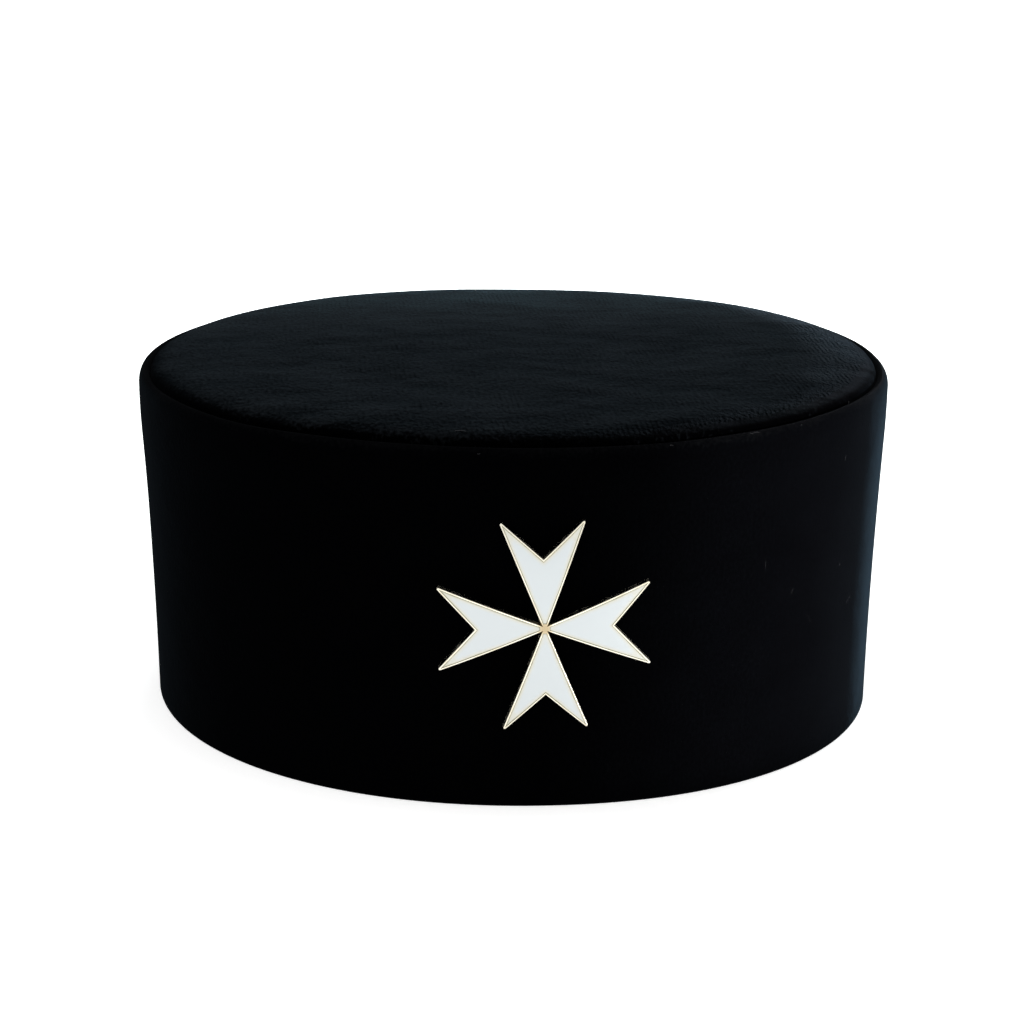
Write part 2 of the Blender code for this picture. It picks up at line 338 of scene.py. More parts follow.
def wall_section():
    """The wall's closed section, as parts that are lists of (outset, height).

    They are the outside, the shoulder, the lip with its allowance, the lining, the hem inside,
    and the two halves of the fold under the rim.
    """
    foot = wall_outset(HEM_RADIUS)
    rises = np.linspace(HEM_RADIUS, SHOULDER_START, WALL_STEPS + 1)
    outer = [(wall_outset(height), height) for height in rises]
    shoulder = bend(outer[-1], CREST, SHOULDER_STEPS, rises=True)
    lip = bend(CREST, LIP, FOLD_STEPS, rises=False) + list(ALLOWANCE)
    falls = np.linspace(SHOULDER_START - LINING_DROP, HEM_HEIGHT, LINING_STEPS + 1)
    lining_side = [(wall_outset(height) - WALL_THICKNESS + HEM_STEP, height) for height in falls]
    turned_up = (HEM_HEIGHT - HEM_STEP, HEM_HEIGHT / 2)
    hem = [(wall_outset(height) - WALL_THICKNESS, height) for height in turned_up]
    inner_centre = (foot - WALL_THICKNESS + HEM_RADIUS, HEM_RADIUS)
    inner_fold = arc(inner_centre, HEM_RADIUS, 180, 270, FOLD_STEPS)
    outer_fold = arc((foot - HEM_RADIUS, HEM_RADIUS), HEM_RADIUS, 270, 360, FOLD_STEPS)
    return outer, shoulder[1:], lip[1:], lining_side, hem, inner_fold, outer_fold[:-1]


def distances(loop):
    """How far along a closed loop each of its points lies, and last the whole length."""
    steps = np.diff(loop, axis=0, append=loop[:1])
    return np.concatenate([[0], np.cumsum(np.linalg.norm(steps, axis=1))])


def velvet_wall(turns, finishes):
    """The side wall: velvet outside, turned in under the rim, and a plain lining inside."""
    parts = wall_section()
    outer_rows, velvet_rows, lined_rows = (sum(map(len, parts[:count])) for count in (2, 3, 4))
    section = np.vstack(parts)
    points = np.array([level(plan_outline(turns, outset), height) for outset, height in section])
    aside = points[0, :, 0]
    groove = np.where(points[0, :, 1] > 0, np.exp(-((aside / BACK_SEAM_WIDTH) ** 2)), 0)
    points[:outer_rows, :, 1] -= groove * BACK_SEAM_DEPTH
    columns = len(turns)
    faces = quads(len(section), columns, closed=True)
    places = worked(points.reshape(-1, 3)) + (0, CENTRE_Y, 0)
    wall = piece("velvet_wall", places, faces, ["side_band"])
    row, column = faces[:, 0] // columns, faces[:, 0] % columns
    along, up = distances(points[0]), distances(section)
    corners = ((column, row), (column + 1, row), (column + 1, row + 1), (column, row + 1))
    cloth = [np.stack([along[across], up[above]], axis=1) for across, above in corners]
    lay_cloth(wall.data, np.stack(cloth, axis=1))
    plain = (row >= velvet_rows - 1) & (row < lined_rows - 1)
    # Painted shade: the wall's rows from partway up the shoulder to the seam take darker copies of
    # the velvet.
    shoulder_row = np.where(row < velvet_rows - 1, row - WALL_STEPS, 0)
    shade_steps = sum(shoulder_row >= first for first in WALL_SHADE_ROWS)
    set_finishes(wall.data, finishes, plain, shade_steps)
    return wall


def top_rings(turns, roll):
    """The top's rings of points: out along the underside, up the roll, and in over the flat."""
    middle, edge = (plan_outline(turns, outset) for outset in (roll[-1][0], TOP_EDGE))
    shares = np.linspace(1, 0, TOP_RINGS + 1)[1:-1]
    rings = [level(edge * share, UNDERSIDE) for share in UNDERSIDE_RINGS]
    rings += [level(plan_outline(turns, outset), height) for outset, height in roll]
    return rings + [level(middle * share, CAP_HEIGHT) for share in shares]


def top_cloth(points, turns, roll, foot):
    """Each of the top's points on the flat cloth, where the roll is spread out round the flat."""
    cloth, columns = points[:, :2].copy(), len(turns)
    lengths = np.cumsum(np.linalg.norm(np.diff(roll[::-1], axis=0), axis=1))[::-1]
    for ring, length in enumerate(lengths, foot):
        cloth[ring * columns : (ring + 1) * columns] = plan_outline(turns, roll[-1][0] + length)
    return cloth


def front_right(points):
    """How far each point lies towards the front's right, from 0 to 1."""
    rightwards = np.clip((points[:, 0] - SHADE_FROM) / (SHADE_TO - SHADE_FROM), 0, 1)
    return rightwards * np.clip(0.5 - points[:, 1] / SHADE_DEPTH, 0, 1)


def top_painted_shade(points, turns):
    """How much painted shade darkens each of the top's points near the seam, from 0 to 1."""
    from_seam = edge_distance(points[:, :2], plan_outline(turns, TOP_EDGE))
    widely = np.clip(1 - from_seam / SHADE_WIDTH, 0, 1) * front_right(points)
    return np.maximum(widely, np.clip(1 - from_seam / ROLL_SHADE_WIDTH, 0, 1))


def velvet_top(turns, finishes):
    """The top: a flat panel with a plain underside, whose edge rolls up out of the seam."""
    roll = [(TOP_EDGE - inwards, height) for inwards, height in TOP_ROLL]
    roll.append((TOP_EDGE - FLAT_START, CAP_HEIGHT))
    rings = top_rings(turns, roll)
    points = np.vstack([*rings, [(0, 0, CAP_HEIGHT)], [(0, 0, UNDERSIDE)]])
    foot, columns = len(UNDERSIDE_RINGS), len(turns)
    above = slice(foot * columns, -1)
    reach = np.linalg.norm(points[above, :2] / (RIM_WIDTH / 2, RIM_DEPTH / 2), axis=1)
    points[above, 2] += CROWN * (CROWN_AT_MIDDLE - reach**CROWN_POWER)
    count = len(rings) * columns
    last = count - columns
    faces = [tuple(face) for face in quads(len(rings), columns, closed=False)]
    around = list(zip(np.arange(columns), np.roll(np.arange(columns), -1)))
    faces += [(last + a, last + b, count) for a, b in around]
    faces += [(b, a, count + 1) for a, b in around]
    top = piece("velvet_top", worked(points) + (0, CENTRE_Y, 0), faces, ["crown_top"])
    corner = np.empty(len(top.data.loops), dtype=np.int32)
    top.data.loops.foreach_get("vertex_index", corner)
    lay_cloth(top.data, top_cloth(points, turns, roll, foot)[corner])
    # Painted shade: the top's colour darkens near the seam, and widely at the front's right.
    mark_points(top.data, "painted_shade", top_painted_shade(points, turns))
    row = np.arange(len(faces)) // columns - foot
    plain = (row < -1) | (row == row[-1])
    # Painted shade: darker copies of the velvet on the rows near the seam, over fewer rows away
    # from the front's right.
    rightness = front_right(points)[[face[0] for face in faces]]
    fewer = np.round((1 - rightness) * TOP_FEWER_SHADE_ROWS)
    shade_steps = sum(row < last_row - fewer for last_row in TOP_SHADE_ROWS)
    set_finishes(top.data, finishes, plain, shade_steps)
    return top


def surface_tree(carrier):
    """Finds the nearest point of a piece's surface."""
    mesh = carrier.data
    places = [vertex.co for vertex in mesh.vertices]
    return BVHTree.FromPolygons(places, [face.vertices for face in mesh.polygons])


def lint(carriers, fluff):
    """Short curved fibres, each lying on the nearest point of the cap."""
    trees = [surface_tree(carrier) for carrier in carriers]
    turns = np.arange(LINT_SIDES) * 2 * math.pi / LINT_SIDES
    points, faces = [], []
    for place, length, radius, tilt, curl in LINT:
        found = [tree.find_nearest(Vector(place) * MM) for tree in trees]
        spot, outward, _, _ = min(found, key=lambda hit: hit[3])
        along = Vector((0, 0, 1)).cross(outward).normalized()
        along.rotate(Quaternion(outward, math.radians(tilt)))
        aside = outward.cross(along)
        spokes = [aside * math.cos(turn) + outward * math.sin(turn) for turn in turns]
        first = len(points)
        for share in np.linspace(-1, 1, LINT_STEPS + 1):
            bowed = along * share + aside * (curl * (1 - share**2))
            centre = spot / MM + bowed * (length / 2) + outward * LINT_LIFT
            reach = radius * math.sqrt(1 - (LINT_TAPER * share) ** 2)
            points += [centre + spoke * reach for spoke in spokes]
        last = len(points) - LINT_SIDES
        sides = quads(LINT_STEPS + 1, LINT_SIDES, closed=False) + first
        faces += [tuple(face) for face in sides]
        faces += [tuple(range(start, start + LINT_SIDES)) for start in (first, last)]
        faces[-2] = faces[-2][::-1]
    made = piece("lint", points, faces, [])
    made.data.materials.append(fluff)


# The badge

def rotated(points, degrees):
    """Flat points turned counterclockwise about the origin."""
    angle = math.radians(degrees)
    turn = [[math.cos(angle), math.sin(angle)], [-math.sin(angle), math.cos(angle)]]
    return np.asarray(points) @ np.array(turn)


def tangent_point(outside, centre, side):
    """Where a line from an outside point touches a tip's circle, on its left (1) or right (-1)."""
    away = outside - centre
    distance = np.linalg.norm(away)
    spread_angle = math.degrees(math.acos(TIP_RADIUS / distance))
    return centre + rotated(away / distance * TIP_RADIUS, side * spread_angle)


def arm_corners():
    """The arm along +Y: its neck's right side, notch, right tip's centre and tangent points."""
    neck = np.array([NECK_WIDTH, NECK_WIDTH]) / 2
    notch = np.array([0.0, NOTCH_REACH])
    tip = np.array([TIP_SPREAD, CROSS_WIDTH]) / 2 - TIP_RADIUS
    return neck, notch, tip, tangent_point(neck, tip, 1), tangent_point(notch, tip, -1)


def cross_outline():
    """The eight-pointed cross with rounded tips, counterclockwise."""
    neck, notch, tip, side_touch, notch_touch = arm_corners()
    start, end = (
        math.degrees(math.atan2(*(touch - tip)[::-1])) for touch in (side_touch, notch_touch)
    )
    right_tip = np.array(arc(tip, TIP_RADIUS, start, end, TIP_STEPS))
    left_tip = right_tip[::-1] * (-1, 1)
    arm = np.vstack([neck, right_tip, notch, left_tip])
    return np.vstack([rotated(arm, ARM_TURN * index) for index in range(len(ARMS))])


def arm_field():
    """The arm along +Y with sharp tips, cut straight so that a cell inside it has its start."""
    neck, notch, _, side_touch, notch_touch = arm_corners()
    side = side_touch - neck
    edges = np.stack([side, notch - notch_touch], axis=1)
    tip = neck + side * np.linalg.solve(edges, notch - neck)[0]
    base = neck + side * (CELL_START - GILT_LINE - neck[1]) / side[1]
    mirror = np.array([-1, 1])
    return np.stack([base, tip, notch, tip * mirror, base * mirror])


def inset(points, distance):
    """A counterclockwise outline moved inwards, corner by corner."""
    edges = np.roll(points, -1, axis=0) - points
    edges /= np.linalg.norm(edges, axis=1, keepdims=True)
    inward = edges[:, ::-1] * (-1, 1)
    before = np.roll(inward, 1, axis=0)
    mitre = (inward + before) / (1 + np.sum(inward * before, axis=1, keepdims=True))
    return points + mitre * distance


def divided(corners, steps, bow=0.0):
    """A counterclockwise outline whose edges are each divided in steps, and bowed inwards."""
    points = []
    for start, end, count in zip(corners, np.roll(corners, -1, axis=0), steps):
        share = np.arange(count)[:, None] / count
        along = end - start
        inward = np.array([-along[1], along[0]]) / np.linalg.norm(along)
        points.append(start + along * share + inward * (4 * bow * share * (1 - share)))
    return np.vstack(points)


def edge_distance(points, outline):
    """Each flat point's distance from an outline."""
    start = outline[None]
    along = np.roll(outline, -1, axis=0)[None] - start
    away = points[:, None] - start
    share = np.clip(np.sum(away * along, axis=2) / np.sum(along**2, axis=2), 0, 1)
    return np.linalg.norm(away - share[..., None] * along, axis=2).min(axis=1)


def is_within(points, outlines):
    """Whether each flat point lies inside an odd number of the outlines."""
    odd = np.zeros(len(points), dtype=bool)
    for outline in outlines:
        start, end = outline[None], np.roll(outline, -1, axis=0)[None]
        x, y = points[:, None, 0], points[:, None, 1]
        spans = (start[..., 1] > y) != (end[..., 1] > y)
        rise = np.where(spans, end[..., 1] - start[..., 1], 1)
        crossing = start[..., 0] + (y - start[..., 1]) / rise * (end[..., 0] - start[..., 0])
        odd ^= np.count_nonzero(spans & (x < crossing), axis=1) % 2 == 1
    return odd


def bent(flat, height):
    """Flat points set at a height over the badge's dome."""
    reach_squared = np.sum(np.asarray(flat) ** 2, axis=1)
    lift = BADGE_STAND + PLATE_THICKNESS - DOME_RADIUS
    return np.column_stack([flat, lift + np.sqrt((DOME_RADIUS + height) ** 2 - reach_squared)])


class Relief:
    """A thin solid over the dome: outlines at heights, the strips between them, filled areas."""

    def __init__(self):
        self.points, self.faces, self.count = [], [], 0

    def add(self, flat, height):
        """Adds points and returns their numbers."""
        self.points.append(bent(flat, height))
        self.count += len(flat)
        return np.arange(self.count - len(flat), self.count)

    def steps(self, corners, profile):
        """Adds an outline at each (inset, height) and joins them.

        Returns each one's corners, steps and numbers.
        """
        lengths = np.linalg.norm(np.roll(corners, -1, axis=0) - corners, axis=1)
        counts = np.maximum(1, np.round(lengths / BADGE_SPACING)).astype(int)
        loops = []
        for distance, height in profile:
            shape = inset(corners, distance)
            loops.append((shape, counts, self.add(divided(shape, counts), height)))
        for (*_, lower), (*_, upper) in zip(loops, loops[1:]):
            strip = zip(lower, np.roll(lower, -1), np.roll(upper, -1), upper)
            self.faces += [tuple(face) for face in strip]
        return loops

    def fill(self, loops, height, downwards=False):
        """Fills the area between the first loop and the others, with points spread over it.

        The triangles are found with the outlines bowed a little into the area, so that none of
        them lies along a straight edge.
        """
        bows = [BOW] + [-BOW] * (len(loops) - 1)
        outlines = [divided(shape, counts, bow) for (shape, counts, _), bow in zip(loops, bows)]
        low, high = outlines[0].min(axis=0), outlines[0].max(axis=0)
        ranges = (np.arange(a, b, BADGE_SPACING) for a, b in zip(low, high))
        grid = np.stack(np.meshgrid(*ranges), axis=-1).reshape(-1, 2)
        grid = grid[is_within(grid, outlines)]
        room = np.min([edge_distance(grid, outline) for outline in outlines], axis=0)
        grid = grid[room > BADGE_SPACING / 2]
        numbers = [numbers for *_, numbers in loops] + [self.add(grid, height)]
        numbers = np.concatenate(numbers)
        flat = np.vstack(outlines + [grid])
        edges, first = [], 0
        for outline in outlines:
            own = np.arange(first, first + len(outline))
            edges += list(zip(own.tolist(), np.roll(own, -1).tolist()))
            first += len(outline)
        places = [Vector(point) for point in flat]
        _, _, triangles, sources, _, _ = geometry.delaunay_2d_cdt(places, edges, [], 0, WELD)
        corners = np.array([[sources[corner][0] for corner in face] for face in triangles])
        corners = corners[is_within(flat[corners].mean(axis=1), outlines)]
        self.faces += [tuple(face) for face in numbers[corners[:, ::-1] if downwards else corners]]


def badge_axis():
    """The badge's place on the wall: its +Z points out of it."""
    front = -(RIM_DEPTH / 2 + wall_outset(BADGE_HEIGHT))
    turn = Euler((math.radians(90), 0, math.radians(BADGE_TURN)), "ZYX")
    return Matrix.Translation((0, front + CENTRE_Y, BADGE_HEIGHT)) @ turn.to_matrix().to_4x4()


def placed(relief):
    """The relief's points on the front of the cap."""
    axis = np.array(badge_axis())
    return np.vstack(relief.points) @ axis[:3, :3].T + axis[:3, 3]


def cell_outline(index):
    """The cell that one arm's enamel lies in."""
    return rotated(inset(arm_field(), GILT_LINE), -ARM_TURN * index)


def badge_plate():
    """The gilt plate: a rounded rim, a cell in each arm, and a plain back."""
    relief = Relief()
    rim = relief.steps(cross_outline(), PLATE_BACK + PLATE_RIM)
    relief.fill(rim[:1], -PLATE_THICKNESS, downwards=True)
    cells = [relief.steps(cell_outline(index), CELL_LIP) for index in range(len(ARMS))]
    relief.fill([rim[-1], *(cell[0] for cell in cells)], 0.0)
    for cell in cells:
        relief.fill(cell[-1:], -CELL_DEPTH)
    plate = piece("gilt_plate", placed(relief), relief.faces, ["badge_plate"])
    flat = np.vstack(relief.points)[:, :2]
    mark_points(plate.data, "from_middle", np.linalg.norm(flat, axis=1))
    plate.data.materials.append(gilt())


def badge_enamel(index, arm, glaze):
    """One arm's enamel: a rounded edge and a low crown."""
    relief = Relief()
    outline = inset(cell_outline(index), ENAMEL_GAP)
    edge = relief.steps(outline, ENAMEL_EDGE)
    relief.fill(edge[:1], ENAMEL_FOOT, downwards=True)
    relief.fill(edge[-1:], ENAMEL_CROWN)
    name, replaced = f"white_enamel_{arm}", [f"enamel_{arm}"]
    made = piece(name, placed(relief), relief.faces, replaced)
    flat = np.vstack(relief.points)[:, :2]
    mark_points(made.data, "from_edge", edge_distance(flat, outline))
    made.data.materials.append(glaze)


# Finishes

# The pile's sheen where it lies flat, and in darker steps that are painted shade in the bends by
# the seam.
PILE_SHEEN = (0.0074, 0.0096, 0.0117)
PAINTED_SHADE_SHEEN = (
    (0.0068, 0.0088, 0.0107),
    (0.0062, 0.0079, 0.0096),
    (0.0056, 0.0069, 0.0083),
    (0.0050, 0.0058, 0.0069),
    (0.0044, 0.0047, 0.0054),
)
SHEEN_ROUGHNESS = 0.33
PILE_ROUGHNESS = (0.9, 1.0)

# A pile's grain (how much it is drawn out along the cloth, and its height), the heights of the
# patches of its lay and of its ribs, its colours where it is dark, at its tips and where a sheen is
# painted on, and the places up the cloth where that painted sheen begins and is full. Heights and
# places are in millimetres. The painted sheen lightens the back of the top, and is a painted
# highlight along the wall's crest. The top's roll has the top's colours and the wall's fine grain,
# from its fourth darker step on.
Pile = namedtuple("Pile", "stretch grain lay ribs dark tips brushed brush_start brush_end")
# Painted sheen: the top's colours are lighter than the wall's, though it is the same velvet, where
# the top catches the light.
TOP_PILE_WITH_PAINTED_SHEEN = Pile(
    stretch=(1.0, 0.5),
    grain=0.35,
    lay=0.7,
    ribs=0.1,
    dark=(0.0001, 0.0001, 0.00015),
    tips=(0.005, 0.006, 0.007),
    brushed=(0.012, 0.019, 0.022),
    brush_start=20,
    brush_end=105,
)
WALL_PILE = Pile(
    stretch=(1.0, 0.9),
    grain=0.1,
    lay=0.4,
    ribs=0.01,
    dark=(0.00033, 0.00034, 0.00045),
    tips=(0.00046, 0.0005, 0.00066),
    brushed=(0.0017, 0.0018, 0.002),
    brush_start=77,
    brush_end=80.5,
)
ROLL_PILE_WITH_PAINTED_SHEEN = TOP_PILE_WITH_PAINTED_SHEEN._replace(grain=WALL_PILE.grain, ribs=WALL_PILE.ribs)
TOP_SHADE_PILES = (TOP_PILE_WITH_PAINTED_SHEEN, TOP_PILE_WITH_PAINTED_SHEEN, TOP_PILE_WITH_PAINTED_SHEEN, ROLL_PILE_WITH_PAINTED_SHEEN, ROLL_PILE_WITH_PAINTED_SHEEN)

# The pile's noises, in patches a millimetre, its ribs, and the noise between which they grow
# from none to full. Its tone is made of these shares of the grain and the lay, with this much more
# where a sheen is painted on and less where shade is painted near the top's seam. Its three
# colours have these places along the tone.
GRAIN_SCALE = 1.1
LAY_SCALE = 0.07
LAY_STRETCH = (0.8, 1.2)
PILE_DETAIL = 3.0
RIBS = {"Scale": 0.273, "Distortion": 2.5, "Detail": 2.0, "Detail Scale": 0.4}
RIBBED_SCALE = 0.09
RIBBED_RANGE = (0.45, 0.65)
GRAIN_SHARE = 0.6
LAY_SHARE = 0.4
PAINTED_SHEEN_TONE = 0.4
PAINTED_SHADE_TONE = 0.2
TONE_STOPS = (0.4, 0.65, 1.0)

# The lining's threads, in waves a millimetre, and the shares of the weave and the wear in its tone.
THREADS = {"Scale": 0.6, "Distortion": 0.6}
WEAVE_SHARE = 0.4
WEAR_SHARE = 0.6

# What a noise's values mostly lie between, and where a mottled finish has its two colours.
NOISE_RANGE = (0.3, 0.7)
MOTTLE_RANGE = (0.35, 0.65)

# The gilt: the noise over which its tarnish ends and the tones that this gives, and the distances
# from the middle, in millimetres, over which its wear ends.
TARNISH_RANGE = (0.3, 0.62)
TARNISHED_TONE = (0.8, 1.0)
WORN_RANGE = (0.8, 1.9)

# How far the enamel's colours shift towards or away from its edge, in millimetres.
ENAMEL_SHIFT = 0.12


def feed(tree, socket, value):
    """Sets an input to a value, or links it to another node's output."""
    if isinstance(value, bpy.types.NodeSocket):
        tree.links.new(value, socket)
    else:
        socket.default_value = value


def add(tree, kind, inputs=(), **settings):
    """A shader node with its settings, and inputs that are values or other nodes' outputs."""
    made = tree.nodes.new(f"ShaderNode{kind}")
    for name, value in settings.items():
        setattr(made, name, value)
    for name, value in dict(inputs).items():
        feed(tree, made.inputs[name], value)
    return made


def object_place(tree):
    """Places in the object's own coordinates, in metres."""
    return add(tree, "TexCoord").outputs["Object"]


def cloth_place(tree):
    """Places on the flat cloth, in millimetres."""
    return add(tree, "UVMap", uv_map="cloth").outputs["UV"]


def clouds(tree, place, scale, detail):
    """Soft noise from 0 to 1."""
    inputs = {"Vector": place, "Scale": scale, "Detail": detail}
    return add(tree, "TexNoise", inputs).outputs["Fac"]


def marked(tree, name):
    """The values that mark_points gave."""
    return add(tree, "Attribute", attribute_name=name).outputs["Fac"]


def ramp(tree, factor, stops):
    """Colours blended along a factor from (place, colour) stops."""
    made = add(tree, "ValToRGB", {"Fac": factor})
    elements = made.color_ramp.elements
    elements.remove(elements[1])
    elements[0].position, elements[0].color = stops[0][0], (*stops[0][1], 1)
    for place, colour in stops[1:]:
        elements.new(place).color = (*colour, 1)
    return made.outputs["Color"]


def spread(tree, value, old, new):
    """A value from one range to another, kept within it."""
    limits = {"From Min": old[0], "From Max": old[1], "To Min": new[0], "To Max": new[1]}
    return add(tree, "MapRange", {"Value": value, **limits}).outputs["Result"]


def combined(tree, operation, first, second):
    """Two values added, multiplied and so on."""
    return add(tree, "Math", {0: first, 1: second}, operation=operation).outputs["Value"]


def blended(tree, first, first_share, second, second_share):
    """The sum of two values, each times its share."""
    shares = ((first, first_share), (second, second_share))
    return combined(tree, "ADD", *(combined(tree, "MULTIPLY", *share) for share in shares))


def stretched(tree, place, scale):
    """Flat places multiplied by a scale for each direction."""
    inputs = {0: place, 1: (*scale, 1)}
    return add(tree, "VectorMath", inputs, operation="MULTIPLY").outputs["Vector"]


def bumped(tree, height, strength, distance):
    """The surface's direction with a relief on it. The distance is in metres."""
    inputs = {"Height": height, "Strength": strength, "Distance": distance}
    return add(tree, "Bump", inputs).outputs["Normal"]


def finish(name):
    """A new material, its tree and its shader."""
    material = bpy.data.materials.new(name)
    material.use_nodes = True
    return material, material.node_tree, material.node_tree.nodes["Principled BSDF"]


def set_shader(tree, shader, values):
    """Sets or links the shader's inputs."""
    for name, value in values.items():
        feed(tree, shader.inputs[name], value)


def velvet(name, sheen, pile):
    """Black velvet with a blue sheen: fine grain, patches of another lay, and faint ribs."""
    material, tree, shader = finish(name)
    cloth = cloth_place(tree)
    grain = clouds(tree, stretched(tree, cloth, pile.stretch), GRAIN_SCALE, PILE_DETAIL)
    lay = clouds(tree, stretched(tree, cloth, LAY_STRETCH), LAY_SCALE, PILE_DETAIL)
    ribs = add(tree, "TexWave", {"Vector": cloth, **RIBS}, bands_direction="X").outputs["Fac"]
    ribbed = clouds(tree, cloth, RIBBED_SCALE, 2.0)
    relief = combined(tree, "MULTIPLY", ribs, spread(tree, ribbed, RIBBED_RANGE, (0.0, pile.ribs)))
    for noise_value, height in ((grain, pile.grain), (lay, pile.lay)):
        relief = combined(tree, "ADD", relief, combined(tree, "MULTIPLY", noise_value, height))
    tone = blended(tree, grain, GRAIN_SHARE, lay, LAY_SHARE)
    # Painted sheen lightens the tone up the cloth (the back of the top, the wall's crest), and
    # painted shade darkens it near the top's seam.
    up_cloth = add(tree, "SeparateXYZ", {"Vector": cloth}).outputs["Y"]
    brushed = spread(tree, up_cloth, (pile.brush_start, pile.brush_end), (0.0, PAINTED_SHEEN_TONE))
    tone = combined(tree, "ADD", tone, brushed)
    painted_shade = combined(tree, "MULTIPLY", marked(tree, "painted_shade"), PAINTED_SHADE_TONE)
    tone = combined(tree, "SUBTRACT", tone, painted_shade)
    colours = (pile.dark, pile.tips, pile.brushed)
    set_shader(tree, shader, {
        "Base Color": ramp(tree, tone, list(zip(TONE_STOPS, colours))),
        "Roughness": spread(tree, grain, NOISE_RANGE, PILE_ROUGHNESS),
        "Specular IOR Level": 0.0,
        "Sheen Weight": 1.0,
        "Sheen Roughness": SHEEN_ROUGHNESS,
        "Sheen Tint": (*sheen, 1),
        "Normal": bumped(tree, relief, strength=1.0, distance=MM),
    })
    return material


def painted_shade_velvets(name, piles):
    """The darker velvet of each step of painted shade in a bend."""
    return [
        velvet(f"{name}_{step}_finish", sheen, pile)
        for step, (sheen, pile) in enumerate(zip(PAINTED_SHADE_SHEEN, piles), 1)
    ]


def lining():
    """Plain black cotton: a fine even weave."""
    material, tree, shader = finish("lining_finish")
    cloth = cloth_place(tree)
    warp, weft = (
        add(tree, "TexWave", {"Vector": cloth, **THREADS}, bands_direction=direction).outputs["Fac"]
        for direction in "XY"
    )
    weave = combined(tree, "MULTIPLY", warp, weft)
    wear = clouds(tree, cloth, scale=0.06, detail=4.0)
    stops = [(0.2, (0.006, 0.006, 0.007)), (0.8, (0.020, 0.020, 0.022))]
    set_shader(tree, shader, {
        "Base Color": ramp(tree, blended(tree, weave, WEAVE_SHARE, wear, WEAR_SHARE), stops),
        "Roughness": spread(tree, wear, NOISE_RANGE, (0.75, 0.9)),
        "Specular IOR Level": 0.3,
        "Normal": bumped(tree, weave, strength=0.4, distance=0.0002),
    })
    return material


def mottled(name, scale, detail, colours, roughness, strength, distance, constants):
    """A finish whose colour, roughness and relief all follow one noise."""
    material, tree, shader = finish(name)
    mottle = clouds(tree, object_place(tree), scale, detail)
    set_shader(tree, shader, {
        "Base Color": ramp(tree, mottle, list(zip(MOTTLE_RANGE, colours))),
        "Roughness": spread(tree, mottle, NOISE_RANGE, roughness),
        "Normal": bumped(tree, mottle, strength, distance),
        **constants,
    })
    return material


def cotton_lint():
    """Grey cotton fluff."""
    return mottled(
        "lint_finish",
        scale=900.0,
        detail=2.0,
        colours=((0.05, 0.05, 0.055), (0.09, 0.09, 0.095)),
        roughness=(0.85, 1.0),
        strength=0.3,
        distance=0.00001,
        constants={"Specular IOR Level": 0.2},
    )


def brass():
    """Dull brass for the pin."""
    return mottled(
        "brass_finish",
        scale=700.0,
        detail=4.0,
        colours=((0.38, 0.26, 0.12), (0.66, 0.48, 0.24)),
        roughness=(0.45, 0.28),
        strength=0.2,
        distance=0.00005,
        constants={"Metallic": 1.0},
    )


def gilt():
    """Polished pale gold plating with fine scratches and a little tarnish, worn at the middle."""
    material, tree, shader = finish("gilt_finish")
    place = object_place(tree)
    tarnish = clouds(tree, place, scale=260.0, detail=3.0)
    clean = spread(tree, tarnish, TARNISH_RANGE, TARNISHED_TONE)
    unworn = spread(tree, marked(tree, "from_middle"), WORN_RANGE, (0.0, 1.0))
    colour = ramp(tree, combined(tree, "MULTIPLY", clean, unworn), [
        (0.0, (0.50, 0.40, 0.25)),
        (0.75, (0.84, 0.76, 0.57)),
        (1.0, (0.93, 0.89, 0.76)),
    ])
    scratches = clouds(tree, place, scale=2600.0, detail=2.0)
    set_shader(tree, shader, {
        "Base Color": colour,
        "Metallic": 1.0,
        "Roughness": spread(tree, tarnish, (0.35, 0.65), (0.32, 0.16)),
        "Normal": bumped(tree, scratches, strength=0.15, distance=0.00002),
    })
    return material


def enamel():
    """Glossy white enamel with a painted shade line at its edge, and warmer towards the metal round
    it, partly as thin enamel over gilt and partly as a painted reflection of the gilt.
    """
    material, tree, shader = finish("enamel_finish")
    ripple = clouds(tree, object_place(tree), scale=150.0, detail=2.0)
    shift = spread(tree, ripple, NOISE_RANGE, (-ENAMEL_SHIFT, ENAMEL_SHIFT))
    # Painted shade within 0.1 mm of the edge, then a warm tint, partly thin enamel and partly a
    # painted reflection of the gilt, fading to cool white.
    edge_reach = combined(tree, "ADD", marked(tree, "from_edge"), shift)
    colour = ramp(tree, edge_reach, [
        (0.0, (0.38, 0.38, 0.27)),
        (0.1, (0.52, 0.51, 0.40)),
        (0.2, (0.64, 0.63, 0.53)),
        (0.45, (0.64, 0.65, 0.61)),
        (0.9, (0.62, 0.66, 0.67)),
    ])
    set_shader(tree, shader, {
        "Base Color": colour,
        "Roughness": spread(tree, ripple, NOISE_RANGE, (0.08, 0.16)),
        "Coat Weight": 0.3,
        "Normal": bumped(tree, ripple, strength=0.1, distance=0.0001),
    })
    return material


def paper():
    """Matt white paper, lit from behind, for the floor."""
    material, tree, shader = finish("paper_finish")
    tooth = clouds(tree, object_place(tree), scale=3.0, detail=3.0)
    stops = list(zip(NOISE_RANGE, ((0.89, 0.89, 0.89), (0.91, 0.91, 0.91))))
    set_shader(tree, shader, {
        "Base Color": ramp(tree, tooth, stops),
        "Roughness": 1.0,
        "Specular IOR Level": 0.0,
        "Emission Color": (1, 1, 1, 1),
        "Emission Strength": FLOOR_GLOW,
    })
    return material


# The studio. The camera looks down at the cap from the front and a little from the left.
CAMERA_AIM = Vector((0.30, 2.0, 40.9)) * MM
CAMERA_DISTANCE = 0.7
CAMERA_AZIMUTH = -3.717
CAMERA_ELEVATION = 13.06
CAMERA_ROLL = 0.352
CAMERA_LENS = 98.0

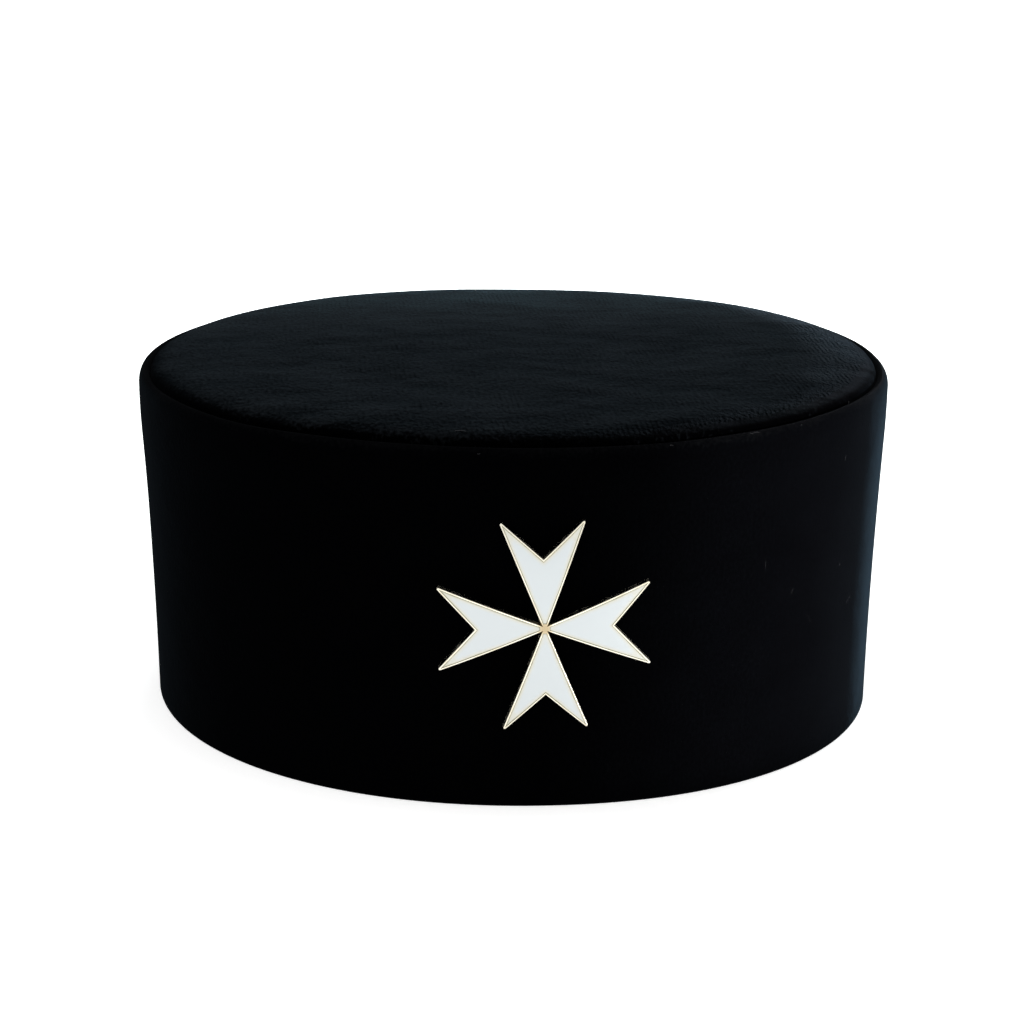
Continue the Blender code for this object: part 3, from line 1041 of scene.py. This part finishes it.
# Soft lights, in metres, watts and degrees of spread: two low ones at the right, whose beams pass
# under the top, and two behind that light it at a low angle.
Light = namedtuple("Light", "place aim size power beam colour")
LIGHTS = {
    "right": Light(
        place=(0.8, 0.15, 0.042),
        aim=(0, 0.15, 0.042),
        size=(0.51, 0.084),
        power=1.1,
        beam=1.5,
        colour=(1, 0.98, 0.98),
    ),
    "edge": Light(
        place=(0.45, 0.75, 0.04),
        aim=(0.08, 0, 0.04),
        size=(0.3, 0.08),
        power=0.5,
        beam=2.5,
        colour=(0.6, 0.85, 1),
    ),
    "back": Light(
        place=(0.5, 1.0, 0.24),
        aim=(0, 0, 0.04),
        size=(1.2, 0.15),
        power=22.0,
        beam=180.0,
        colour=(0.9, 1, 1),
    ),
    "skim": Light(
        place=(0.2, 1.0, 0.1),
        aim=(0, 0, 0.08),
        size=(1.0, 0.04),
        power=6.0,
        beam=180.0,
        colour=(0.85, 1, 1),
    ),
}
SUN_STRENGTH = 0.1
SUN_ANGLE = 70.0
SUN_DIRECTION = Vector((-0.35, -0.6, -1))
SKY_STRENGTH = 1.0
FLOOR_GLOW = 0.45
FLOOR_SIZE = 60.0


def facing(direction):
    """The turn of a camera or a light that looks this way."""
    return direction.to_track_quat("-Z", "Y")


def camera():
    """The photo's camera."""
    azimuth, elevation = math.radians(CAMERA_AZIMUTH), math.radians(CAMERA_ELEVATION)
    back = Vector((
        math.sin(azimuth) * math.cos(elevation),
        -math.cos(azimuth) * math.cos(elevation),
        math.sin(elevation),
    ))
    data = bpy.data.cameras.new("camera")
    data.lens = CAMERA_LENS
    made = bpy.data.objects.new("camera", data)
    turn = facing(-back).to_matrix() @ Matrix.Rotation(math.radians(CAMERA_ROLL), 3, "Z")
    made.matrix_world = Matrix.Translation(CAMERA_AIM + back * CAMERA_DISTANCE) @ turn.to_4x4()
    bpy.context.scene.collection.objects.link(made)
    bpy.context.scene.camera = made


def add_light(data, place, direction):
    """Puts a light in the scene."""
    light = bpy.data.objects.new(data.name, data)
    light.location = place
    light.rotation_euler = facing(direction).to_euler()
    bpy.context.scene.collection.objects.link(light)


def studio():
    """A pale floor under a white sky, and the soft lights."""
    scene = bpy.context.scene
    half = FLOOR_SIZE / 2
    corners = [(-half, -half, 0), (half, -half, 0), (half, half, 0), (-half, half, 0)]
    mesh = bpy.data.meshes.new("floor")
    mesh.from_pydata(corners, [], [(0, 1, 2, 3)])
    mesh.materials.append(paper())
    floor = bpy.data.objects.new("floor", mesh)
    scene.collection.objects.link(floor)
    for name, light in LIGHTS.items():
        data = bpy.data.lights.new(name, "AREA")
        data.shape = "RECTANGLE"
        data.size, data.size_y = light.size
        data.energy = light.power
        data.spread = math.radians(light.beam)
        data.color = light.colour
        add_light(data, light.place, Vector(light.aim) - Vector(light.place))
    sun = bpy.data.lights.new("sun", "SUN")
    sun.energy = SUN_STRENGTH
    sun.angle = math.radians(SUN_ANGLE)
    add_light(sun, (0, 0, 0), SUN_DIRECTION)
    world = bpy.data.worlds.new("sky")
    world.use_nodes = True
    background = world.node_tree.nodes["Background"]
    background.inputs["Strength"].default_value = SKY_STRENGTH
    background.inputs["Color"].default_value = (1, 1, 1, 1)
    scene.world = world
    scene.view_settings.view_transform = "Standard"


def dress():
    """Makes every piece of the cap, and gives the pin its finish."""
    turns = plan_turns()
    plain = lining()
    shaded_wall = painted_shade_velvets("painted_shade_velvet", [WALL_PILE] * len(PAINTED_SHADE_SHEEN))
    shaded_top = painted_shade_velvets("painted_shade_top_velvet", TOP_SHADE_PILES)
    flat_wall = velvet("velvet_finish", PILE_SHEEN, WALL_PILE)
    flat_top = velvet("top_velvet_finish", PILE_SHEEN, TOP_PILE_WITH_PAINTED_SHEEN)
    wall = velvet_wall(turns, (flat_wall, plain, *shaded_wall))
    top = velvet_top(turns, (flat_top, plain, *shaded_top))
    lint((wall, top), cotton_lint())
    badge_plate()
    glaze = enamel()
    for index, arm in enumerate(ARMS):
        badge_enamel(index, arm, glaze)
    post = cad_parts["badge_post"]
    post.data.materials.clear()
    post.data.materials.append(brass())


camera()
studio()
dress()
